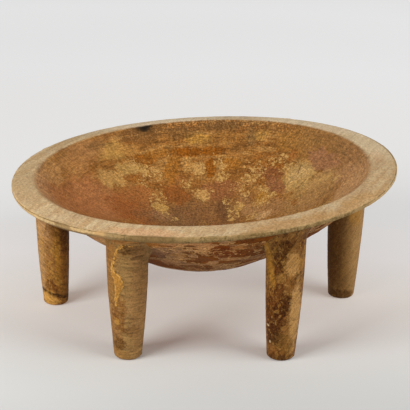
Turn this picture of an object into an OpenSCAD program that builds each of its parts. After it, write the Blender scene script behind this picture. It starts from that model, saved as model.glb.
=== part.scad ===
// Low round bowl of hewn hardwood with a broad flat rim, standing on six round legs.
// Millimetres, +Z up. The origin is on the floor, under the middle of the rim.

/* [Rim] */
// Diameter across the rim's outer edge
rim_d = 450; // [400:1:520]
// Height of the rim's outer edge above the floor, at the middle of the bowl
rim_h = 169; // [150:1:200]
// Width of the rim's top face, from the lip to the outer edge
rim_w = 27; // [20:0.5:34]
// Fall of the top face from the lip out to the edge
rim_fall = 2.4; // [0:0.1:5]
// Thickness of the rim at its outer edge
rim_t = 6; // [4.5:0.25:9]
// Radius that eases the rim's two outer corners
rim_ease = 1.5; // [0.5:0.1:2]
// Overhang of the rim past the belly
rim_overhang = 21; // [12.5:0.5:25]
// Lean of the rim and the hollow towards the left, in degrees
rim_lean = 3.5; // [0:0.1:4.5]

/* [Belly] */
// Height of the belly's lowest point above the floor
belly_clearance = 49.5; // [35:0.5:60]
// Fullness of the belly: 1 is a cone, 2 is a parabola
belly_fullness = 1.8; // [1.5:0.05:2]
// Lean of the belly towards the left, in degrees
belly_lean = 2.1; // [0:0.1:4]

/* [Hollow] */
// Thickness of the wood under the middle of the hollow
floor_t = 28; // [20:1:40]
// Fullness of the hollow: 1 is a cone, 2 is a parabola
hollow_fullness = 1.6; // [1.4:0.05:1.8]

/* [Legs] */
// Distance from the top of the belly in to the axis of a leg
leg_inset = 28.5; // [24:0.5:45]
// Diameter of each leg at the floor
foot_d = 31; // [26:0.5:36]
// Radius that eases the edge of each foot
foot_ease = 3; // [1:0.25:5]
// Height over which a leg swells from the foot to its full width
swell_h = 120; // [90:1:140]
// Swell of a leg: 1 is a straight taper, 2 is a rounded one
leg_swell = 1.6; // [1:0.05:2.2]

/* [Leg widths] */
// Full width of the left leg
left_d = 38; // [34:0.5:48]
// Full width of the front left leg
front_left_d = 46; // [34:0.5:48]
// Full width of the front right leg
front_right_d = 42; // [34:0.5:48]
// Full width of the right leg
right_d = 43; // [34:0.5:48]
// Full width of the back right leg
back_right_d = 42; // [34:0.5:48]
// Full width of the back left leg
back_left_d = 42; // [34:0.5:48]

/* [Leg angles] */
// Place of the left leg, in degrees from the front towards the right
left_angle = -85; // [-95:0.5:-75]
// Place of the front left leg
front_left_angle = -27; // [-37:0.5:-17]
// Place of the front right leg
front_right_angle = 31; // [21:0.5:41]
// Place of the right leg
right_angle = 97.5; // [87:0.5:107]
// Place of the back right leg
back_right_angle = 157; // [147:0.5:167]
// Place of the back left leg
back_left_angle = 217; // [207:0.5:227]

/* [Leg joints] */
// Diameter of the stub tenon on each leg
tenon_d = 20; // [14:0.5:24]
// Length of the stub tenon, square to the belly
tenon_l = 7; // [4:0.25:8.5]
// Play around a tenon in its socket
tenon_play = 0.15; // [0.05:0.05:0.3]
// Room left past the end of a tenon
socket_end = 0.5; // [0.2:0.1:1]
// Glue line between the top of a leg and the belly
glue_line = 0.2; // [0.1:0.05:0.4]

/* [Hidden] */
$fn = 180;

// Flat steps along a profile curve, and along an eased corner
curve_steps = 20;
ease_steps = 5;

// Colours of the worn wood
bowl_colour = [0.60, 0.42, 0.24];
leg_colour = [0.47, 0.32, 0.17];

// Rim, belly and hollow
rim_r = rim_d / 2;
belly_r = rim_r - rim_overhang;
lip_r = rim_r - rim_w;
lip_h = rim_h + rim_fall;
under_h = rim_h - rim_t;
rim_mid_h = rim_h - rim_t / 2;
floor_h = belly_clearance + floor_t;
above_h = 2 * rim_h;

// The rim and hollow lean about the middle of the rim, the belly about its own half height
belly_mid_h = (belly_clearance + rim_h) / 2;

// Seat of a leg on the belly
seat_r = belly_r - leg_inset;
seat_slope = atan(belly_rise(seat_r));
tenon_root = tenon_d / 2;
socket_mouth = tenon_d / 2;

// Height of the belly at a distance from its axis
function belly_z(r) = belly_clearance + (under_h - belly_clearance) * pow(r / belly_r, belly_fullness);

// Slope of the belly there
function belly_rise(r) =
    (under_h - belly_clearance) * belly_fullness / belly_r * pow(r / belly_r, belly_fullness - 1);

// Height of the hollow at a distance from its axis
function hollow_z(r) = floor_h + (lip_h - floor_h) * pow(r / lip_r, hollow_fullness);

// Radius of a leg at a height
function leg_r(z, full_d) =
    foot_d / 2 + (full_d - foot_d) / 2 * (1 - pow(1 - min(z / swell_h, 1), leg_swell));

// Points of an arc about a centre
function arc(centre, radius, from, to) = [
    for (i = [0:ease_steps])
        let (a = from + (to - from) * i / ease_steps)
        centre + radius * [cos(a), sin(a)]
];

// Turns its children by the lean of the rim
module rim_frame() {
    translate([0, 0, rim_mid_h]) rotate([0, -rim_lean, 0]) translate([0, 0, -rim_mid_h]) children();
}

// Turns its children by the lean of the belly
module belly_frame() {
    translate([0, 0, belly_mid_h]) rotate([0, -belly_lean, 0]) translate([0, 0, -belly_mid_h]) children();
}

// Puts its children on the belly at a leg's place, with +Z going square into the wood
module at_seat(angle) {
    belly_frame()
        rotate([0, 0, angle - 90])
            translate([seat_r, 0, belly_z(seat_r)])
                rotate([0, -seat_slope, 0]) children();
}

// All that lies above the belly's curve
module above_belly() {
    curve = [
        for (i = [0:curve_steps])
            let (r = rim_r * i / curve_steps)
            [r, belly_z(r)]
    ];
    belly_frame() rotate_extrude() polygon(concat(curve, [[rim_r, above_h], [0, above_h]]));
}

// The rim as a whole disc, with its sloping top face and eased corners
module rim_disc() {
    face_angle = atan(rim_fall / rim_w);
    outer_x = rim_r - rim_ease;
    outline = concat(
        [[0, under_h]],
        arc([outer_x, under_h + rim_ease], rim_ease, -90, 0),
        arc([outer_x, rim_h - rim_ease], rim_ease, 0, 90 - face_angle),
        [[lip_r, lip_h], [0, lip_h]]
    );
    rim_frame() rotate_extrude() polygon(outline);
}

// Everything below the middle of the rim's thickness
module below_rim() {
    rim_frame() cylinder(r = rim_d, h = rim_mid_h);
}

// Everything from the rim's underside upwards
module above_rim() {
    rim_frame() translate([0, 0, under_h]) cylinder(r = rim_d, h = above_h);
}

// The hollow, carried on past the lip so that it opens through the top face
module hollow() {
    past_lip_r = lip_r + rim_w / 2;
    curve = [
        for (i = [0:curve_steps])
            let (r = past_lip_r * i / curve_steps)
            [r, hollow_z(r)]
    ];
    rim_frame() rotate_extrude() polygon(concat(curve, [[0, hollow_z(past_lip_r)]]));
}

// The blind socket that takes a leg's tenon
module socket(angle) {
    at_seat(angle)
        translate([0, 0, -socket_mouth])
            cylinder(d = tenon_d + 2 * tenon_play, h = socket_mouth + tenon_l + socket_end);
}

// A leg: round, swelling upwards, cut to the belly and the rim, with its stub tenon
module leg(angle, full_d) {
    ease_r = leg_r(foot_ease, full_d);
    swell = [
        for (i = [1:curve_steps])
            let (z = foot_ease + (swell_h - foot_ease) * i / curve_steps)
            [leg_r(z, full_d), z]
    ];
    outline = concat(
        [[0, 0]],
        arc([ease_r - foot_ease, foot_ease], foot_ease, -90, 0),
        swell,
        [[full_d / 2, rim_h], [0, rim_h]]
    );
    color(leg_colour) union() {
        difference() {
            rotate([0, 0, angle - 90]) translate([seat_r, 0, 0]) rotate_extrude() polygon(outline);
            translate([0, 0, -glue_line]) above_belly();
            translate([0, 0, -glue_line]) above_rim();
        }
        at_seat(angle) translate([0, 0, -tenon_root]) cylinder(d = tenon_d, h = tenon_root + tenon_l);
    }
}

module bowl() {
    color(bowl_colour) difference() {
        union() {
            rim_disc();
            intersection() {
                above_belly();
                below_rim();
            }
        }
        hollow();
        for (angle = [
            left_angle, front_left_angle, front_right_angle,
            right_angle, back_right_angle, back_left_angle
        ]) socket(angle);
    }
}

module leg_left() { leg(left_angle, left_d); }
module leg_front_left() { leg(front_left_angle, front_left_d); }
module leg_front_right() { leg(front_right_angle, front_right_d); }
module leg_right() { leg(right_angle, right_d); }
module leg_back_right() { leg(back_right_angle, back_right_d); }
module leg_back_left() { leg(back_left_angle, back_left_d); }

bowl();
leg_left();
leg_front_left();
leg_front_right();
leg_right();
leg_back_right();
leg_back_left();
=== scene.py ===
import math
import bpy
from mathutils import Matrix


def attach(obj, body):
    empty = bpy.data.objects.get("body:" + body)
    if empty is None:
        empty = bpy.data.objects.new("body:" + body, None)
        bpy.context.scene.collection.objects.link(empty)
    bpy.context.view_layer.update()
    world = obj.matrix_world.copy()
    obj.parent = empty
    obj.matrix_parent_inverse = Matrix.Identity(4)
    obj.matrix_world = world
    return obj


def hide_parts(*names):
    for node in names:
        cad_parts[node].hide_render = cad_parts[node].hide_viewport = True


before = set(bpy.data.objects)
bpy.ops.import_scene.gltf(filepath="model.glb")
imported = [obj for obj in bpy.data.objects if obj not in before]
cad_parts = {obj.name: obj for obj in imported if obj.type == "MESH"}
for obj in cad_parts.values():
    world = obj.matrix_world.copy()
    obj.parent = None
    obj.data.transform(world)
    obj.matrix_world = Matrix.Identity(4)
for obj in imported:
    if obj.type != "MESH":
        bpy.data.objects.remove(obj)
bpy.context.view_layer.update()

from types import SimpleNamespace

import bpy
import numpy as np
from mathutils import Matrix, Vector, noise

mm = 0.001
print("packed bowl loaded:", len(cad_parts), "nodes")


def screenColour(red, green, blue):
    # 0 to 255 as seen on a screen, to the linear colour that a shader takes
    linear = []
    for value in (red / 255, green / 255, blue / 255):
        linear.append(value / 12.92 if value <= 0.04045 else ((value + 0.055) / 1.055) ** 2.4)
    return tuple(linear)


def placed(name, data):
    thing = bpy.data.objects.new(name, data)
    bpy.context.scene.collection.objects.link(thing)
    return thing


# arrays of points, all in mm until a mesh is made

noiseStep = np.array([13.7, 5.1, 8.3])  # moves the pattern on from seed to seed
noiseFade, noiseGap = 0.75, 2.0  # from octave to octave


def leaned(x, y, z, degrees, pivot):
    # tips points to the left about a height on the bowl's axis
    c, s = math.cos(math.radians(degrees)), math.sin(math.radians(degrees))
    return np.stack([x * c - (z - pivot) * s, y, pivot + x * s + (z - pivot) * c], -1)


def ringAt(radius, angle, height, lean, pivot):
    return leaned(radius * np.cos(angle), radius * np.sin(angle), height, lean, pivot)


def smoothStep(value, low, high):
    t = np.clip((value - low) / (high - low), 0.0, 1.0)
    return t * t * (3.0 - 2.0 * t)


def crossing(low, high, isPast):
    # halves the stretch from low to high round the place where isPast begins
    for step in range(40):
        middle = (low + high) / 2
        past = isPast(middle)
        high = np.where(past, middle, high)
        low = np.where(past, low, middle)
    return (low + high) / 2


def roughness(points, size, seed, octaves=1, stretch=(1.0, 1.0, 1.0)):
    # smooth random height, about -1 to 1, with bumps of this size
    places = points.reshape(-1, 3) * (np.array(stretch) / size) + seed * noiseStep
    if octaves == 1:
        values = [noise.noise(Vector(p)) for p in places.tolist()]
    else:
        values = [noise.fractal(Vector(p), noiseFade, noiseGap, octaves) for p in places.tolist()]
    return np.array(values).reshape(points.shape[:-1])


def gridNormals(points):
    # rows are rings, columns go round
    down = np.gradient(points, axis=0)
    across = np.roll(points, -1, 1) - np.roll(points, 1, 1)
    normal = np.cross(across, down)
    return normal / np.maximum(np.linalg.norm(normal, axis=-1, keepdims=True), 1e-9)


def meshFromRings(name, rings, firstPole, lastPole, attributes):
    # rings closed round, with a point at each end
    rows, around = rings.shape[:2]
    corners = np.vstack([rings.reshape(-1, 3), firstPole, lastPole]) * mm
    index = np.arange(rows * around).reshape(rows, around)
    after = np.roll(index, -1, 1)
    quads = np.stack([index[:-1], index[1:], after[1:], after[:-1]], -1).reshape(-1, 4)
    first, last = rows * around, rows * around + 1
    caps = [(first, a, b) for a, b in zip(index[0].tolist(), after[0].tolist())]
    caps += [(last, b, a) for a, b in zip(index[-1].tolist(), after[-1].tolist())]
    mesh = bpy.data.meshes.new(name)
    mesh.from_pydata(corners.tolist(), [], quads.tolist() + caps)
    for label, values in attributes.items():
        layer = mesh.attributes.new(label, "FLOAT", "POINT")
        values = values.reshape(-1)
        poles = [values[:around].mean(), values[-around:].mean()]
        layer.data.foreach_set("value", np.concatenate([values, poles]))
    mesh.shade_smooth()
    mesh.update()
    return placed(name, mesh)


# the bowl

bowlShape = {
    "rimRadius": 225.0, "rimHeight": 169.0, "rimWidth": 27.0, "rimFall": 2.4, "rimCrown": 0.5,
    "rimThickness": 6.0, "rimEase": 1.7, "rimLean": 3.5,
    "bellyRadius": 204.0, "bellyBottom": 49.5, "bellyFullness": 1.8, "bellyLean": 2.1,
    "floorHeight": 77.5, "hollowFullness": 1.6, "joinRange": (150.0, 224.0),
    "around": 720, "hollowRings": 180, "rimRings": 20, "cornerRings": 5, "underRings": 14, "bellyRings": 84,
    "hollowPole": 0.008, "bellyPole": 0.012,
    # rows to each side and passes
    "lipSoftening": (3, 5), "joinSoftening": (7, 14),
    # out of round, fitted to the photo's outline, rounded, then changed: (order, cosine mm, sine mm)
    "edgeWave": [(0, 0.5, 0.0), (1, 0.9, 0.0), (2, -0.1, 0.9), (3, 0.1, 0.35)],
    "lipWave": [(1, -0.3, 1.4), (2, -0.4, -0.2), (3, -0.8, -0.6)],
    "heightWave": [(0, 0.5, 0.0), (1, 0.4, 0.6), (2, 0.8, -0.2), (3, -0.1, 0.5)],
    # what hand work and use have left: depths, then sizes
    "hewing": 0.7, "rimHewing": 0.35, "grainDepth": 0.08, "crustHeight": 0.5, "peelDepth": 0.4,
    "chipDepth": 0.5, "wearDepth": 0.14,
    "hewSize": 75.0, "dentSize": 26.0, "grainSize": 7.0, "curlSize": 7.0, "flakeSize": 4.5, "peelSize": 30.0,
    "peelWrap": 90.0, "peelFlatness": 2.6, "chipSize": 17.0, "wearSize": 15.0, "cornerReach": 3.0,
}
# where dried crust gathers in the hollow, read off the photo, made up where hidden: x, y, reach
crustSpots = [
    (-66, 115, 15), (-58, 60, 10), (-56, 78, 10), (-77, 95, 7), (-2, 90, 13), (-22, 107, 8), (-8, 131, 11),
    (24, 118, 10), (47, 96, 11), (60, 104, 11), (76, 80, 10), (38, 58, 9), (45, 64, 8), (38, 45, 9),
    (66, 113, 15), (20, 141, 9), (72, 56, 10), (105, 100, 8), (11, 95, 3), (34, 94, 3), (88, 120, 11),
    (-45, 48, 6), (-36, 42, 6), (52, 78, 7), (100, 118, 9), (62, 34, 8), (146, 36, 8), (159, 18, 6),
    (84, 62, 8), (-90, 118, 9), (30, 76, 7), (-24, -36, 20), (-8, -44, 13), (44, -72, 7), (-66, -84, 19),
    (-84, -92, 12), (92, -58, 16), (104, -46, 11), (4, -112, 9), (-112, -60, 5), (58, -134, 18),
    (40, -142, 11), (-34, -6, 12), (74, -20, 18), (62, -10, 12), (110, -24, 8), (-44, -66, 12),
    (-102, -110, 8), (-60, -142, 6), (16, -154, 11), (140, -52, 8),
]


def waveSum(waves, angle):
    total = np.zeros_like(angle)
    for order, cosine, sine in waves:
        total += cosine * np.cos(order * angle) + sine * np.sin(order * angle)
    return total


def bellyHeight(radius):
    s = bowlShape
    rise = s["rimHeight"] - s["rimThickness"] - s["bellyBottom"]
    return s["bellyBottom"] + rise * (np.maximum(radius, 0.0) / s["bellyRadius"]) ** s["bellyFullness"]


def bellyPivot():
    return (bowlShape["bellyBottom"] + bowlShape["rimHeight"]) / 2


def rimPivot():
    return bowlShape["rimHeight"] - bowlShape["rimThickness"] / 2


def bellyRing(radius, angle):
    return ringAt(radius, angle, bellyHeight(radius), bowlShape["bellyLean"], bellyPivot())


def overUnderside(points):
    # height over the rim's underside
    x, y, z = (points[..., i] for i in range(3))
    rim = leaned(x, y, z, -bowlShape["rimLean"], rimPivot())
    return rim[..., 2] - (bowlShape["rimHeight"] - bowlShape["rimThickness"])


def insideWood(points):
    # above zero inside the belly or over the rim's underside, below zero in the open air under the bowl
    x, y, z = (points[..., i] for i in range(3))
    belly = leaned(x, y, z, -bowlShape["bellyLean"], bellyPivot())
    overBelly = belly[..., 2] - bellyHeight(np.hypot(belly[..., 0], belly[..., 1]))
    return np.maximum(overBelly, overUnderside(points))


def bowlRings():
    s = bowlShape
    angle = np.linspace(0.0, 2 * math.pi, s["around"], endpoint=False)
    edgeWave, lipWave, heightWave = (waveSum(s[k], angle) for k in ("edgeWave", "lipWave", "heightWave"))
    lipRadius, lipHeight = s["rimRadius"] - s["rimWidth"], s["rimHeight"] + s["rimFall"]
    ease, outer = s["rimEase"], s["rimRadius"] - s["rimEase"]
    rings = []

    def rimRing(radius, height, outward=1.0, lift=1.0):
        # outward: 0 at the lip, 1 at the edge; lift: share of the waves
        r = radius + (lipWave * (1 - outward) + edgeWave * outward) * lift
        rings.append(ringAt(r, angle, height + heightWave * lift ** 1.5, s["rimLean"], rimPivot()))

    def rimCorner(middle, fromAngle, toAngle):
        for a in np.radians(np.linspace(fromAngle, toAngle, s["cornerRings"])):
            rimRing(outer + ease * math.cos(a), middle + ease * math.sin(a))

    for t in np.linspace(s["hollowPole"], 1.0, s["hollowRings"]):
        rise = (lipHeight - s["floorHeight"]) * t ** s["hollowFullness"]
        rimRing(lipRadius * t, s["floorHeight"] + rise, 0.0, t * t)
    lipIndex = len(rings) - 1
    for t in np.linspace(0.0, 1.0, s["rimRings"] + 1)[1:]:
        crown = s["rimCrown"] * math.sin(math.pi * t)
        rimRing(lipRadius + (outer - lipRadius) * t, lipHeight - s["rimFall"] * t + crown, t)
    edgeIndex = len(rings) - 1
    rimCorner(s["rimHeight"] - ease, 75, 0)
    for t in (0.33, 0.67):
        rimRing(s["rimRadius"], s["rimHeight"] - ease - (s["rimThickness"] - 2 * ease) * t)
    rimCorner(s["rimHeight"] - s["rimThickness"] + ease, 0, -90)
    underIndex = len(rings) - 1

    # the belly runs into the rim's underside at its own radius in each direction
    near, far = (np.full_like(angle, radius) for radius in s["joinRange"])
    joinRadius = crossing(near, far, lambda radius: overUnderside(bellyRing(radius, angle)) > 0)
    under, join = rings[underIndex], bellyRing(joinRadius, angle)
    for t in np.linspace(0.0, 1.0, s["underRings"] + 1)[1:]:
        rings.append(under * (1 - t) + join * t)
    joinIndex = len(rings) - 1
    for t in np.linspace(1.0, s["bellyPole"], s["bellyRings"] + 1)[1:]:
        rings.append(bellyRing(joinRadius * t, angle))
    points = np.array(rings)

    # soften the lip and the corner under the rim
    for middle, (reach, passes) in ((lipIndex, s["lipSoftening"]), (joinIndex, s["joinSoftening"])):
        rows = np.arange(middle - reach, middle + reach + 1)
        for step in range(passes):
            points[rows] = 0.5 * points[rows] + 0.25 * (points[rows - 1] + points[rows + 1])
    return points, lipIndex, edgeIndex, underIndex, joinIndex


def makeBowl():
    s = bowlShape
    points, lipIndex, edgeIndex, underIndex, joinIndex = bowlRings()
    step = np.linalg.norm(np.diff(points, axis=0), axis=-1)
    along = np.concatenate([np.zeros((1, s["around"])), np.cumsum(step, 0)])
    along -= along[lipIndex]
    rowNumber = np.arange(len(points))[:, None] + np.zeros((1, s["around"]))
    normal = gridNormals(points)

    inHollow = smoothStep(-along, 0.0, 12.0) * (rowNumber <= lipIndex)
    onBelly = smoothStep(rowNumber, joinIndex - 6, joinIndex + 4)
    hew = roughness(points, s["hewSize"], 1) + 0.45 * roughness(points, s["dentSize"], 2)
    share = s["rimHewing"] + (1 - s["rimHewing"]) * np.maximum(inHollow, onBelly)
    shift = s["hewing"] * hew * share + s["grainDepth"] * roughness(points, s["grainSize"], 3)

    # dried crust: curling edges and small flakes, gathered in spots
    spot = np.full(points.shape[:2], -1.0)
    for x, y, reach in crustSpots:
        spot = np.maximum(spot, 1.0 - np.hypot(points[..., 0] - x, points[..., 1] - y) / reach)
    curl = 1.0 - np.abs(roughness(points, s["curlSize"], 4, 3)) / 0.08
    grain = roughness(points, s["flakeSize"], 8, 4)
    curls = smoothStep(curl, 0.0, 0.7) * smoothStep(spot + 0.6 * grain, 0.05, 0.5)
    flakes = smoothStep(grain + 0.7 * np.clip(spot, -0.85, 0.3), 0.44, 0.6)
    crust = np.maximum(curls, flakes) * inHollow
    shift += s["crustHeight"] * crust

    # finish peeled from the belly in ragged flakes, longer round the bowl than down it
    turn = np.arctan2(points[..., 1], points[..., 0])
    wrapped = np.stack([s["peelWrap"] * np.cos(turn), s["peelWrap"] * np.sin(turn),
                        s["peelFlatness"] * points[..., 2]], -1)
    layer = roughness(wrapped, s["peelSize"], 5, 6)
    peel = (smoothStep(layer, -0.05, 0.03) + smoothStep(layer, 0.2, 0.28)) * 0.5 * onBelly
    shift -= s["peelDepth"] * peel

    # knocks and wear on the rim's two outer corners
    nearEdge = sum(np.exp(-((along - along[row]) / s["cornerReach"]) ** 2) for row in (edgeIndex, underIndex))
    knock = smoothStep(roughness(points, s["chipSize"], 6, 2), 0.28, 0.75)
    shift -= s["chipDepth"] * knock * np.clip(nearEdge, 0, 1)
    shift -= s["wearDepth"] * nearEdge * (roughness(points, s["wearSize"], 7) + 0.4)

    points = points + normal * shift[..., None]
    masks = {"along": along, "crust": crust, "spots": spot, "peel": peel}
    piece = meshFromRings("bowlBody", points, points[0].mean(0), points[-1].mean(0), masks)
    print("bowl mesh:", len(piece.data.polygons), "faces")
    return piece


# the legs

legShape = {
    "footEase": 3.0, "swellHeight": 120.0, "swell": 1.6, "circle": 175.5, "topRange": (20.0, 185.0),
    "around": 132, "rows": 112, "sink": 2.0, "flare": 5.0, "flareReach": 13.0,
    "hewing": 0.45, "grainDepth": 0.1, "hewSize": 26.0, "dentSize": 9.0, "grainSize": 3.2,
    "oval": 0.5, "lobes": 0.35, "dripHeight": 1.1, "dripSize": 4.0,
}
# angle from the front, full and foot width, outward lean in degrees, shift of the foot in mm
legKeys = ("angle", "width", "foot", "lean", "shift", "seed")
legs = {node: dict(zip(legKeys, row)) for node, *row in (
    ("leg_left", -85.0, 39.0, 29.0, 1.0, (-0.6, 0.0), 11),
    ("leg_front_left", -27.0, 45.5, 30.5, 1.1, (0.8, 2.4), 12),
    ("leg_front_right", 31.0, 42.0, 31.0, 0.8, (0.0, 3.2), 13),
    ("leg_right", 97.5, 43.0, 31.0, 0.5, (0.0, 1.5), 14),
    ("leg_back_right", 157.0, 42.0, 31.0, 0.6, (0.0, 0.0), 15),
    ("leg_back_left", 217.0, 42.0, 31.0, 0.6, (0.0, 0.0), 16),
)}
# run of dried drink on the front left leg: x, y, height, reach
dripPath = [
    (-72.0, -181.5, 138, 0.7), (-78.0, -181.0, 140, 0.9), (-84.0, -179.6, 139, 1.0),
    (-88.5, -177.8, 135, 1.1), (-91.5, -176.0, 127, 0.9), (-94.0, -174.2, 116, 1.1),
    (-94.8, -173.6, 109, 1.6), (-92.5, -175.0, 104, 3.4), (-88.5, -177.0, 100, 5.2),
    (-87.0, -177.6, 94, 5.2), (-88.2, -176.9, 87, 4.0), (-90.0, -175.5, 78, 2.4),
    (-91.0, -174.2, 70, 1.3), (-91.6, -173.6, 62, 0.6),
]


def pieceName(node):
    first, *rest = node.split("_")
    return first + "".join(word.capitalize() for word in rest)


def legRadius(height, leg):
    part = 1.0 - (1.0 - np.clip(height / legShape["swellHeight"], 0.0, 1.0)) ** legShape["swell"]
    return leg["foot"] / 2 + (leg["width"] - leg["foot"]) / 2 * part


def driedDrip(points):
    # 1 on the run, 0 off it
    places = points.reshape(-1, 3)
    near = np.full(len(places), -9.0)
    for (*p, r0), (*q, r1) in zip(dripPath[:-1], dripPath[1:]):
        p, way = np.array(p), np.array(q) - np.array(p)
        t = np.clip((places - p) @ way / (way @ way), 0, 1)
        gap = np.linalg.norm((places - p - t[:, None] * way) * np.array([1, 0.4, 1]), axis=1)
        near = np.maximum(near, (r0 + (r1 - r0) * t) - gap)
    ragged = 1.3 * roughness(points, legShape["dripSize"], 77, 3)
    return smoothStep(near.reshape(points.shape[:2]) + ragged, -0.7, 2.4)


def makeLeg(node):
    s, leg = legShape, legs[node]
    a = math.radians(leg["angle"])
    outward, upward = np.array([math.sin(a), -math.cos(a), 0.0]), np.array([0, 0, 1.0])
    foot = outward * s["circle"] + np.array([*leg["shift"], 0.0])
    axis = outward * math.tan(math.radians(leg["lean"])) + upward
    turn = np.linspace(0.0, 2 * math.pi, s["around"], endpoint=False)
    ray = np.stack([np.cos(turn), np.sin(turn), 0.0 * turn], -1)
    rng = np.random.default_rng(leg["seed"])
    oval = s["oval"] * np.cos(2 * turn + rng.uniform(0, 6.28))
    oval = oval + s["lobes"] * np.cos(3 * turn + rng.uniform(0, 6.28))

    def place(height, extra):
        radius = legRadius(height, leg) + oval * np.clip(height / 30.0, 0.3, 1.0) + extra
        return foot + axis * height[..., None] + ray * radius[..., None]

    def topHeight(extra):
        # where each side of the leg reaches the underside
        low, high = (np.full_like(turn, height) for height in s["topRange"])
        return crossing(low, high, lambda height: insideWood(place(height, extra)) > 0)

    top = topHeight(0.0)
    rise = np.maximum((topHeight(3.0) - top) / 3.0, 0.0)
    rows = []
    for bend in np.radians([90, 60, 30, 12]):
        inset = s["footEase"] * (1 - math.cos(bend))
        rows.append(place(np.zeros_like(turn) + s["footEase"] * (1 - math.sin(bend)), -inset))
    for t in np.linspace(0.0, 1.0, s["rows"]):
        height = s["footEase"] + (top + s["sink"] - s["footEase"]) * t
        flare = s["flare"] * np.clip(1.0 - (top - height) / s["flareReach"], 0.0, 1.2) ** 2
        spot = place(height, flare)
        spot[:, 2] += flare * rise
        rows.append(spot)
    points = np.array(rows)
    normal = gridNormals(points)
    hew = roughness(points, s["hewSize"], leg["seed"], 1, (1.0, 1.0, 0.45))
    hew = s["hewing"] * (hew + 0.35 * roughness(points, s["dentSize"], leg["seed"] + 20))
    grain = s["grainDepth"] * roughness(points, s["grainSize"], leg["seed"] + 40)
    shift = (hew + grain) * smoothStep(points[..., 2], 0.5, 6.0)
    drip = driedDrip(points) if node == "leg_front_left" else np.zeros(points.shape[:2])
    points = points + normal * (shift + s["dripHeight"] * drip)[..., None]
    points[..., 2] = np.maximum(points[..., 2], 0.0)
    firstPole = points[0].mean(0) * np.array([1, 1, 0.0])
    return meshFromRings(pieceName(node), points, firstPole, points[-1].mean(0), {"drip": drip})


# shader helpers

def isSocket(value):
    return isinstance(value, bpy.types.NodeSocket)


def link(source, target):
    source.id_data.links.new(source, target)


def addNode(kind, inputs, tree=None, **props):
    # into the tree given, or that of the first socket among the inputs
    if tree is None:
        tree = next(value for value in inputs.values() if isSocket(value)).id_data
    node = tree.nodes.new("ShaderNode" + kind)
    for name, value in props.items():
        setattr(node, name, value)
    for key, value in inputs.items():
        if isSocket(value):
            link(value, node.inputs[key])
        else:
            node.inputs[key].default_value = value
    return node


def attribute(tree, name):
    return addNode("Attribute", {}, tree, attribute_name=name).outputs["Fac"]


def maths(operation, a, b=0.0, c=0.0):
    return addNode("Math", {0: a, 1: b, 2: c}, operation=operation).outputs[0]


def times(first, *others):
    for other in others:
        first = maths("MULTIPLY", first, other)
    return first


def timesPlus(value, factor, extra):
    return maths("MULTIPLY_ADD", value, factor, extra)


def vectorMaths(operation, a, b):
    return addNode("VectorMath", {0: a, 1: b}, operation=operation).outputs[0]


def scaled(vector, factor):
    # for a point, or for a colour made brighter or darker
    return addNode("VectorMath", {0: vector, "Scale": factor}, operation="SCALE").outputs[0]


def turned(point, x, y, z):
    angles = tuple(math.radians(a) for a in (x, y, z))
    return addNode("Mapping", {"Vector": point, "Rotation": angles}).outputs[0]


def ramp(value, low, high, toLow=0.0, toHigh=1.0):
    inputs = {0: value, 1: low, 2: high, 3: toLow, 4: toHigh}
    return addNode("MapRange", inputs, interpolation_type="SMOOTHSTEP").outputs[0]


def mixed(mask, under, over, strength=1.0):
    # under and over: an output of a node, or a colour from 0 to 255
    if strength != 1.0:
        mask = times(mask, strength)
    inputs = {0: mask}
    for key, tone in ((6, under), (7, over)):
        inputs[key] = tone if isSocket(tone) else (*screenColour(*tone), 1.0)
    return addNode("Mix", inputs, data_type="RGBA").outputs[2]


def contrast(mask, amount):
    # 0 to 1 turned into a brightness factor about 1
    return timesPlus(mask, 2.0 * amount, 1.0 - amount)


def noiseAt(point, size, detail=3.0, rough=0.55, twist=0.0):
    scale = maths("DIVIDE", 1.0, size) if isSocket(size) else 1.0 / size
    inputs = {"Vector": point, "Scale": scale, "Detail": detail, "Roughness": rough, "Distortion": twist}
    return addNode("TexNoise", inputs).outputs[0]


def newGroup(name, inputs, outputs):
    tree = bpy.data.node_groups.new(name, "ShaderNodeTree")
    for label, value in inputs.items():
        kind = "Vector" if isinstance(value, tuple) else "Float"
        socket = tree.interface.new_socket(label, in_out="INPUT", socket_type="NodeSocket" + kind)
        socket.default_value = value
    for label in outputs:
        tree.interface.new_socket(label, in_out="OUTPUT", socket_type="NodeSocketFloat")
    return tree, tree.nodes.new("NodeGroupInput").outputs, tree.nodes.new("NodeGroupOutput").inputs


def useGroup(group, inputs):
    return addNode("Group", inputs, node_tree=group).outputs


def makeOvalGroup():
    # one patch of a stain or of painted light or shade: an oval with a ragged, soft edge
    inputs = {"Point": (0, 0, 0), "Middle": (0, 0, 0), "Reach": (10, 10, 10), "Turn": (0, 0, 0),
              "Ragged": 0.0, "Softness": 0.25}
    tree, given, out = newGroup("ovalPatch", inputs, ["Mask"])
    away = vectorMaths("SUBTRACT", given["Point"], given["Middle"])
    inputs = {"Vector": away, "Rotation": given["Turn"]}
    level = addNode("VectorRotate", inputs, rotation_type="EULER_XYZ").outputs[0]
    shrunk = vectorMaths("DIVIDE", level, given["Reach"])
    length = addNode("VectorMath", {0: shrunk}, operation="LENGTH").outputs["Value"]
    broken = maths("ADD", length, given["Ragged"])
    near = maths("SUBTRACT", 1.0, given["Softness"])
    far = maths("ADD", 1.0, given["Softness"])
    link(ramp(broken, far, near), out["Mask"])
    return tree


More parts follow.
